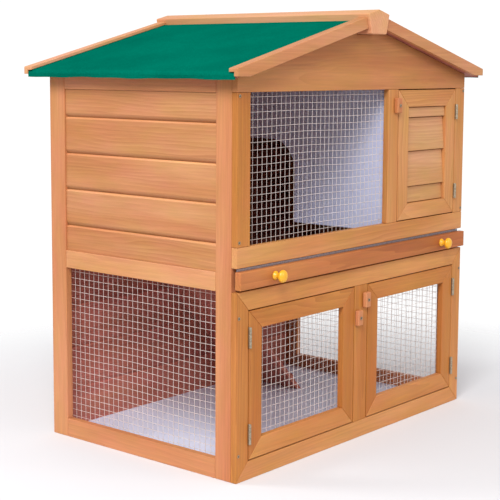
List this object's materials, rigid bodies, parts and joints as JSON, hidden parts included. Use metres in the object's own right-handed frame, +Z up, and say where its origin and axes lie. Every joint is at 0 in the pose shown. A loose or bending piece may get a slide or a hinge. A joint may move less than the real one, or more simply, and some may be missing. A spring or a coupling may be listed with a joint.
{
  "type": "rabbit hutch",
  "caption": "Two-storey wooden rabbit hutch with a green felt gable roof, wire mesh walls and window, hinged doors, turn buttons and a pull-out tray.",
  "frame": {"origin": "on the ground under the middle of the ridge, at the middle of the overall footprint", "axes": "+Z up, -Y out of the front where the doors are, +X to the right seen from the front"},
  "size_m": [0.782, 0.536, 0.808],
  "materials": {
    "side_wood": "stained softwood, satin",
    "front_wood": "stained softwood, satin",
    "drawer_wood": "stained softwood, darker",
    "dark_wood": "stained softwood in shade, matt",
    "lining": "pale smooth board",
    "felt": "green mineral roofing felt, matt",
    "wire": "galvanised welded wire",
    "tray_metal": "galvanised sheet",
    "knob": "pale yellow lacquer",
    "hinge_metal": "plated, dull"
  },
  "bodies": {
    "hutch": {"left_rear_post": "side_wood", "left_front_post": "side_wood", "left_top_rail": "side_wood", "left_mid_rail": "side_wood", "left_bottom_rail": "side_wood", "left_cladding": "side_wood", "left_mesh": "wire", "right_rear_post": "side_wood", "right_front_post": "side_wood", "right_top_rail": "side_wood", "right_mid_rail": "side_wood", "right_bottom_rail": "side_wood", "right_cladding": "side_wood", "right_mesh": "wire", "rear_upper_panel": "dark_wood", "rear_lower_panel": "dark_wood", "rear_mid_rail": "dark_wood", "upper_left_stile": "front_wood", "upper_divider": "front_wood", "upper_right_stile": "front_wood", "upper_bottom_rail": "front_wood", "gable_board": "front_wood", "lower_left_stile": "front_wood", "lower_centre_stile": "front_wood", "lower_right_stile": "front_wood", "lower_top_rail": "front_wood", "lower_bottom_rail": "front_wood", "window_mesh": "wire", "nest_door_hinge_top": "hinge_metal", "nest_door_hinge_bottom": "hinge_metal", "left_door_hinge_top": "hinge_metal", "left_door_hinge_bottom": "hinge_metal", "right_door_hinge_top": "hinge_metal", "right_door_hinge_bottom": "hinge_metal", "left_roof_panel": "dark_wood", "left_roof_felt": "felt", "left_front_bargeboard": "front_wood", "left_rear_bargeboard": "front_wood", "right_roof_panel": "dark_wood", "right_roof_felt": "felt", "right_front_bargeboard": "front_wood", "right_rear_bargeboard": "front_wood", "ridge_beam": "front_wood", "upper_floor": "dark_wood", "partition": "lining", "ramp": "dark_wood", "lower_floor": "lining"},
    "left_door": {"left_door_frame": "front_wood", "left_door_mesh": "wire"},
    "right_door": {"right_door_frame": "front_wood", "right_door_mesh": "wire"},
    "nest_door": {"nest_door_frame": "front_wood", "nest_door_boards": "front_wood"},
    "left_door_button": {"left_door_button": "front_wood"},
    "right_door_button": {"right_door_button": "front_wood"},
    "nest_button": {"nest_button": "front_wood"},
    "tray": {"tray_front": "drawer_wood", "tray_pan": "tray_metal", "tray_knob_left": "knob", "tray_knob_right": "knob"}
  },
  "joints": [
    {"name": "left_door_hinge", "type": "hinge", "parent": "hutch", "child": "left_door", "pos_m": [-0.3295, -0.24005, 0.164], "axis": [0, 0, -1], "range_deg": [0, 110]},
    {"name": "right_door_hinge", "type": "hinge", "parent": "hutch", "child": "right_door", "pos_m": [0.3295, -0.24005, 0.164], "axis": [0, 0, 1], "range_deg": [0, 110]},
    {"name": "nest_door_hinge", "type": "hinge", "parent": "hutch", "child": "nest_door", "pos_m": [0.327, -0.24005, 0.532], "axis": [0, 0, 1], "range_deg": [0, 110]},
    {"name": "left_door_button_turn", "type": "hinge", "parent": "hutch", "child": "left_door_button", "pos_m": [-0.012, -0.2416, 0.234], "axis": [0, 1, 0], "range_deg": [0, 90]},
    {"name": "right_door_button_turn", "type": "hinge", "parent": "hutch", "child": "right_door_button", "pos_m": [0.0125, -0.2416, 0.2655], "axis": [0, 1, 0], "range_deg": [0, 90]},
    {"name": "nest_button_turn", "type": "hinge", "parent": "hutch", "child": "nest_button", "pos_m": [0.1082, -0.2416, 0.63], "axis": [0, 1, 0], "range_deg": [0, 90]},
    {"name": "tray_slide", "type": "slide", "parent": "hutch", "child": "tray", "axis": [0, -1, 0], "range_m": [0, 0.16]}
  ]
}
